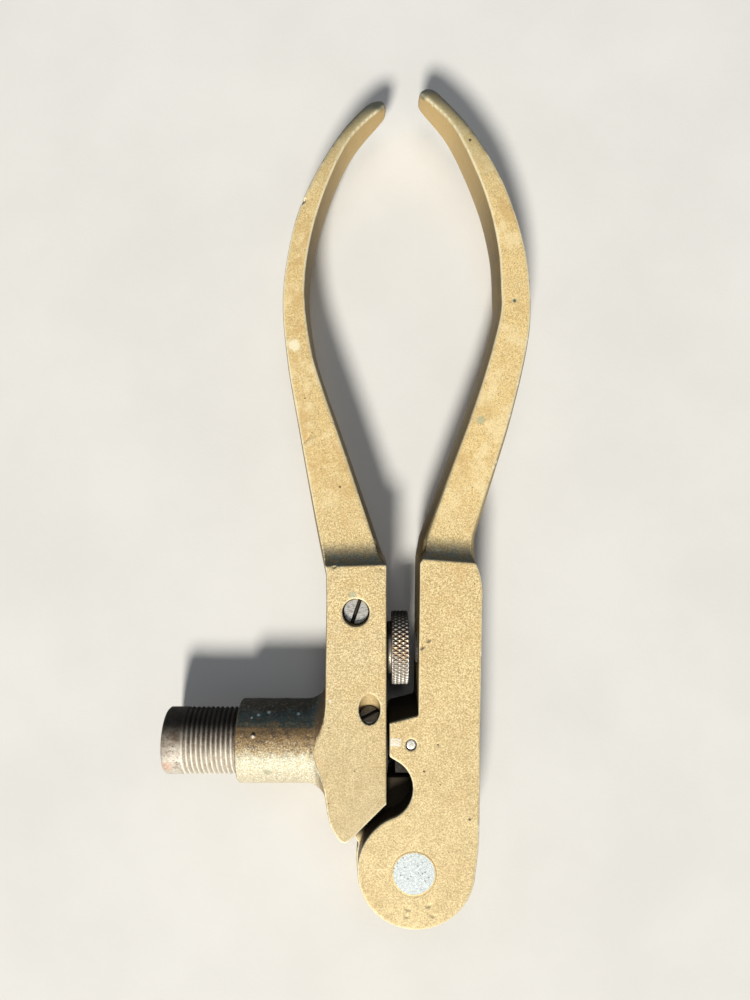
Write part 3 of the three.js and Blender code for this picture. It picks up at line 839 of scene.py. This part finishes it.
# Spots of colour: (place, radius, colour, strength).
RIGHT_MARKS = [
    ((19.2, 127.0, 21.7), 1.3, VERDIGRIS, 0.55),
    ((28.9, 161.1, 21.1), 0.75, VERDIGRIS, 0.6),
    ((28.9, 161.1, 21.1), 0.4, GRIME_AND_SHADE, 1.0),
    ((16.3, 207.2, 19.9), 0.45, GRIME_AND_SHADE, 0.9),
    ((6.7, 36.0, BODY_TOP), 0.3, GRIME_AND_SHADE, 0.9),
    ((2.8, 28.6, BODY_TOP), 0.3, GRIME_AND_SHADE, 0.9),
    ((15.5, 15.2, BODY_TOP), 0.4, GRIME_AND_SHADE, 0.8),
    # Painted shade at the very tip of the right handle.
    ((2.5, 221.5, 17.5), 1.6, rgb(0.10, 0.11, 0.08), 0.7),
]
LEFT_MARKS = [
    ((-33.9, 148.3, 21.3), 1.7, rgb(0.96, 0.89, 0.64), 0.8),
    ((-17.0, 77.7, BODY_TOP), 1.05, rgb(0.40, 0.46, 0.33), 0.6),
    ((-23.4, 48.2, BODY_TOP), 0.42, rgb(0.92, 0.90, 0.82), 0.55),
    ((-20.8, 108.0, 22.0), 0.35, GRIME_AND_SHADE, 0.9),
    # Painted shade above the small lump on the boss, then a painted highlight on it.
    ((-45.1, 38.7, 23.6), 0.55, GRIME_AND_SHADE, 1.0),
    ((-45.2, 37.9, 23.9), 0.38, rgb(1.0, 0.97, 0.88), 1.0),
    ((-46.0, 42.3, 20.8), 0.35, rgb(0.45, 0.58, 0.62), 0.8),
    ((-44.2, 42.9, 20.1), 0.5, rgb(0.40, 0.55, 0.62), 0.8),
    ((-41.3, 43.4, 19.3), 0.5, rgb(0.38, 0.52, 0.58), 0.8),
    ((-32.8, 43.1, 19.8), 0.5, rgb(0.40, 0.52, 0.56), 0.8),
    ((-41.3, 27.5, 23.1), 1.1, rgb(0.36, 0.36, 0.24), 0.7),
    # Painted shade at the very tip of the left handle.
    ((-10.0, 219.0, 17.0), 2.0, rgb(0.08, 0.09, 0.07), 0.75),
]
# A dark scratch on the left handle, as a row of small blots.
LEFT_MARKS += [((-31.3 + 0.42 * i, 120.0 + 0.57 * i, 21.7), 0.2, GRIME_AND_SHADE, 0.75) for i in range(7)]

# Dents: (place, radii, depth, turn in degrees). A negative depth is a lump.
RIGHT_DENTS = [
    ((4.2, 65.3, BODY_TOP), (1.1, 0.6, 1.0), 0.38, 45),
    ((2.4, 63.3, BODY_TOP), (1.2, 0.65, 1.0), 0.42, 50),
    ((6.7, 36.0, BODY_TOP), (0.4, 0.4, 0.8), 0.12, 0),
    ((17.8, 144.6, 21.6), (0.9, 0.35, 1.0), 0.3, 35),
    ((18.7, 140.6, 21.6), (0.9, 0.35, 1.0), 0.3, 50),
    ((14.4, 144.9, 21.6), (0.7, 0.35, 1.0), 0.25, 30),
    ((28.9, 161.1, 21.2), (0.5, 0.5, 0.8), 0.4, 0),
    ((4.0, -8.8, BODY_TOP), (1.3, 0.9, 1.0), 0.22, 30),
    ((5.2, -11.6, BODY_TOP), (1.1, 0.8, 1.0), 0.2, -30),
    ((-1.6, -9.8, BODY_TOP), (1.3, 0.8, 1.0), 0.2, -20),
    ((-2.2, -11.8, BODY_TOP), (1.0, 0.8, 1.0), 0.2, 10),
]
LEFT_DENTS = [
    ((-32.2, 189.4, 20.5), (2.0, 0.9, 2.6), 1.3, 20),
    ((-45.2, 37.9, 23.9), (0.9, 0.6, 1.2), -0.3, 0),
    ((-22.2, 85.6, BODY_TOP), (0.9, 0.45, 1.0), 0.35, 30),
    ((-9.0, 85.1, BODY_TOP), (1.0, 0.4, 1.0), 0.35, -40),
    ((-30.0, 121.7, 21.8), (2.4, 0.4, 1.0), 0.25, 54),
]


def keep_inside(obj, node):
    """Holds a piece within its CAD node's box."""
    low, high = (np.array(corner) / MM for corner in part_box(node))
    set_coordinates(obj.data, np.clip(coordinates(obj.data), low, high))
    return obj


def arm(name, node, body, material, dents, seed):
    """One casting, with its edges, dents and skin."""
    obj = refined(name, node, 0.3)
    round_off_casting(obj)
    hand_finished(obj, 0.05, 26.0, seed)
    roughen_boss(obj, seed)
    press(obj, dents)
    close_rivet_hole(obj)
    keep_inside(thin_out(obj, 170000), node)
    return placed(obj, body, (node,), material)


def placed(obj, body, nodes, material):
    """Puts a finished piece on its body, in place of its CAD nodes."""
    obj.data.materials.append(material)
    for polygon in obj.data.polygons:
        polygon.use_smooth = True
    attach(obj, body)
    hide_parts(*nodes)
    return obj


def small_piece(name, node, body, material, voxel=0.13, grow=0.0):
    """A softened copy of a CAD node, made wider in X and Y by grow millimetres."""
    obj = refined(name, node, voxel)
    soften(obj, np.ones(len(obj.data.vertices)), 1)
    sideways = np.array([1.0, 1.0, 0.0])
    set_coordinates(obj.data, coordinates(obj.data) + normals(obj.data) * grow * sideways)
    return placed(obj, body, (node,), material)


def rivet():
    """A peened rivet that fills its holes in the two cheeks."""
    top = BODY_TOP / 2
    head, body = RIVET_HEAD, RIVET_BODY
    corners = [(-top, 0), (-top, head - 0.04), (-top + 0.04, head), (-5.0, head), (-4.7, body),
               (4.7, body), (5.0, head), (top - 0.04, head), (top, head - 0.04), (top, 0)]
    rows = profile(corners, [0.5, 0.04, 1.5, 0.3, 2.0, 0.3, 1.5, 0.04, 0.5])

    def radii(row, angles):
        return np.full_like(angles, row[0]), np.full_like(angles, row[1])

    obj = ring_surface("rivet", rows, radii, (0, 0, 0), 96)
    co = coordinates(obj.data)
    set_coordinates(obj.data, np.stack([co[:, 2], co[:, 1], top - co[:, 0]], axis=1))
    return placed(obj, "right_half", ("pivot_rivet",), rivet_metal())


def die_sleeve():
    """The die, with a helical thread that fades out at its plain end."""
    low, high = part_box("die_sleeve")
    start = low[0] / MM
    length = (high[0] - low[0]) / MM
    plain = THREAD_START
    thread_end = 23.0
    bore, stem_bore = 6.3, 4.2
    shoulder = length - 38.0
    pocket = 6.0
    corners = [
        (0.55, DIE_RADIUS), (plain, DIE_RADIUS), (thread_end, DIE_RADIUS),
        (length - 0.4, DIE_RADIUS), (length, DIE_RADIUS - 0.4), (length, bore + 0.3),
        (length - 0.5, bore), (shoulder, bore), (shoulder - 1.5, stem_bore),
        (pocket + 0.8, stem_bore), (pocket, bore), (0, bore),
        (0, DIE_RADIUS - 0.55), (0.55, DIE_RADIUS),
    ]
    steps = [0.8, THREAD_PITCH / 12, 4.0, 0.2, 0.6, 0.2, 4.0, 0.5, 4.0, 0.4, 1.0, 0.8, 0.2]
    rows = profile(corners, steps)

    def radii(row, angles):
        along, radius = row
        phase = (along - plain) / THREAD_PITCH - angles / (2 * math.pi)
        slope = np.abs((phase % 1.0) * 2 - 1)
        groove = np.clip(1.0 - 1.28 * slope, 0, 1) * THREAD_DEPTH
        inside = np.clip((along - plain) / 1.2, 0, 1) * (along < thread_end + 0.01)
        on_outside = radius > DIE_RADIUS - 0.01
        return np.full_like(angles, along), radius - groove * inside * on_outside

    obj = ring_surface("die", rows, radii, (start, DIE_Y, DIE_Z), 144)
    return placed(obj, "die", ("die_sleeve",), die_steel())


def thumbscrew():
    """Knurled wheel, hub and shank."""
    low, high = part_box("thumbscrew")
    start, end = low[0] / MM, high[0] / MM
    wheel = end - 4.7
    hub = -7.37
    edge = 0.22
    corners = [
        (start, 0), (start, 3.35), (start + 0.6, 3.95), (hub, 3.95), (hub, 7.3), (hub + 0.3, 7.6),
        (wheel, 7.6), (wheel, WHEEL_RADIUS - edge), (wheel + edge, WHEEL_RADIUS),
        (end - edge, WHEEL_RADIUS), (end, WHEEL_RADIUS - edge), (end, 6.8), (end - 0.35, 6.3),
        (end - 0.35, 0),
    ]
    steps = [1.2, 0.3, 2.0, 0.8, 0.2, 0.6, 0.8, 0.2, 0.1, 0.2, 0.8, 0.3, 1.5]
    rows = profile(corners, steps)

    def radii(row, angles):
        along, radius = row
        turn = KNURL_COUNT * angles / (2 * math.pi)
        slant = (along - wheel) * KNURL_SLANT * KNURL_COUNT / (2 * math.pi * WHEEL_RADIUS)
        first = np.abs(((turn + slant) % 1.0) * 2 - 1)
        second = np.abs(((turn - slant) % 1.0) * 2 - 1)
        cut = KNURL_DEPTH * np.maximum(first, second) ** 1.3
        on_rim = radius > WHEEL_RADIUS - 0.01
        return np.full_like(angles, along), radius - cut * on_rim

    obj = ring_surface("knurled_thumbscrew", rows, radii, (0, THUMB_Y, DIE_Z), KNURL_COUNT * 12)
    return placed(obj, "adjuster", ("thumbscrew",), knurled_steel())


right_brass = brass("right_brass", BRASS_LIGHT, HANDLE_RIGHT, round_end_shade_amount=0.36, marks=RIGHT_MARKS)
left_brass = brass("left_brass", BRASS_GREY, HANDLE_LEFT, round_end_shade_amount=0.62, marks=LEFT_MARKS)
arm("right_casting", "right_arm", "right_half", right_brass, RIGHT_DENTS, seed=3)
arm("left_casting", "left_arm", "left_half", left_brass, LEFT_DENTS, seed=8)
rivet()
die_sleeve()
thumbscrew()

# The lock screw lies in an inclined hole that points at the die.
LOCK_TILT = math.atan2(LOCK_RIM_Y - DIE_Y, BODY_TOP - DIE_Z)
LOCK_AXIS = (0.0, math.sin(LOCK_TILT), math.cos(LOCK_TILT))
LOCK_FACE = LOCK_RIM_Y * LOCK_AXIS[1] + BODY_TOP * LOCK_AXIS[2] - LOCK_DEPTH
CLAMP_SLOT_TOP = 23.4

worn_steel = steel("worn_steel", **WORN)
shaded_black_steel = steel("shaded_black_steel", **BLACK)
screw_steel = steel("screw_steel", **WORN, slot_axis=(0, 0, 1), slot_top=CLAMP_SLOT_TOP)
grub_steel = steel("grub_steel", **DARK, slot_axis=LOCK_AXIS, slot_top=LOCK_FACE)
# The anvil sits deep in the notch; its near-black steel is painted shade.
small_piece("anvil", "anvil_block", "right_half", shaded_black_steel)
small_piece("cross_pin", "anvil_pin", "right_half", worn_steel, voxel=0.1, grow=0.14)
small_piece("stop_face", "stop_button", "right_half", worn_steel)
small_piece("clamping_screw", "clamp_screw", "left_half", screw_steel)
small_piece("locking_screw", "die_lock_screw", "left_half", grub_steel)
small_piece("stem_screw", "seating_stem", "stem", worn_steel)


# ---- Floor, light and camera ----

def floor():
    """A plain square, just under the object."""
    half = 1.6
    low = -0.1 * MM
    mesh = bpy.data.meshes.new("floor")
    corners = [(-half, -half, low), (half, -half, low), (half, half, low), (-half, half, low)]
    mesh.from_pydata(corners, [], [(0, 1, 2, 3)])
    obj = object_from("floor", mesh)
    mesh.materials.append(floor_paint())


def softbox(name, place, size, watts, colour, aim):
    """A round soft light at a place, turned towards aim."""
    light = bpy.data.lights.new(name, "AREA")
    light.shape = "DISK"
    light.size = size
    light.energy = watts
    light.color = colour
    obj = object_from(name, light)
    obj.location = place
    obj.rotation_euler = (Vector(aim) - Vector(place)).to_track_quat("-Z", "Y").to_euler()


def studio():
    """A large warm light from the round end's side, a weak one over the handles, and a dim sky."""
    world = bpy.data.worlds.new("studio")
    bpy.context.scene.world = world
    world.use_nodes = True
    background = world.node_tree.nodes["Background"]
    background.inputs["Color"].default_value = rgb(0.80, 0.88, 1.0)
    background.inputs["Strength"].default_value = 0.15
    middle = (-0.01, 0.1, 0.01)
    softbox("key", (-0.70, -3.2, 3.6), 1.1, 330.0, (1.0, 0.965, 0.885), middle)
    softbox("fill", (0.02, 0.42, 0.60), 0.35, 0.65, (0.94, 0.97, 1.0), (0.0, 0.17, 0.01))


def camera_above():
    """A close wide view, straight down."""
    camera = bpy.data.cameras.new("camera")
    camera.lens = 27.04
    camera.sensor_width = 36.0
    obj = object_from("camera", camera)
    obj.location = Vector((-10.87, 104.27, 234.8)) * MM
    obj.rotation_euler = (0, 0, 0)
    camera.clip_start = 0.01
    bpy.context.scene.camera = obj


floor()
studio()
camera_above()
bpy.context.scene.view_settings.view_transform = "Standard"
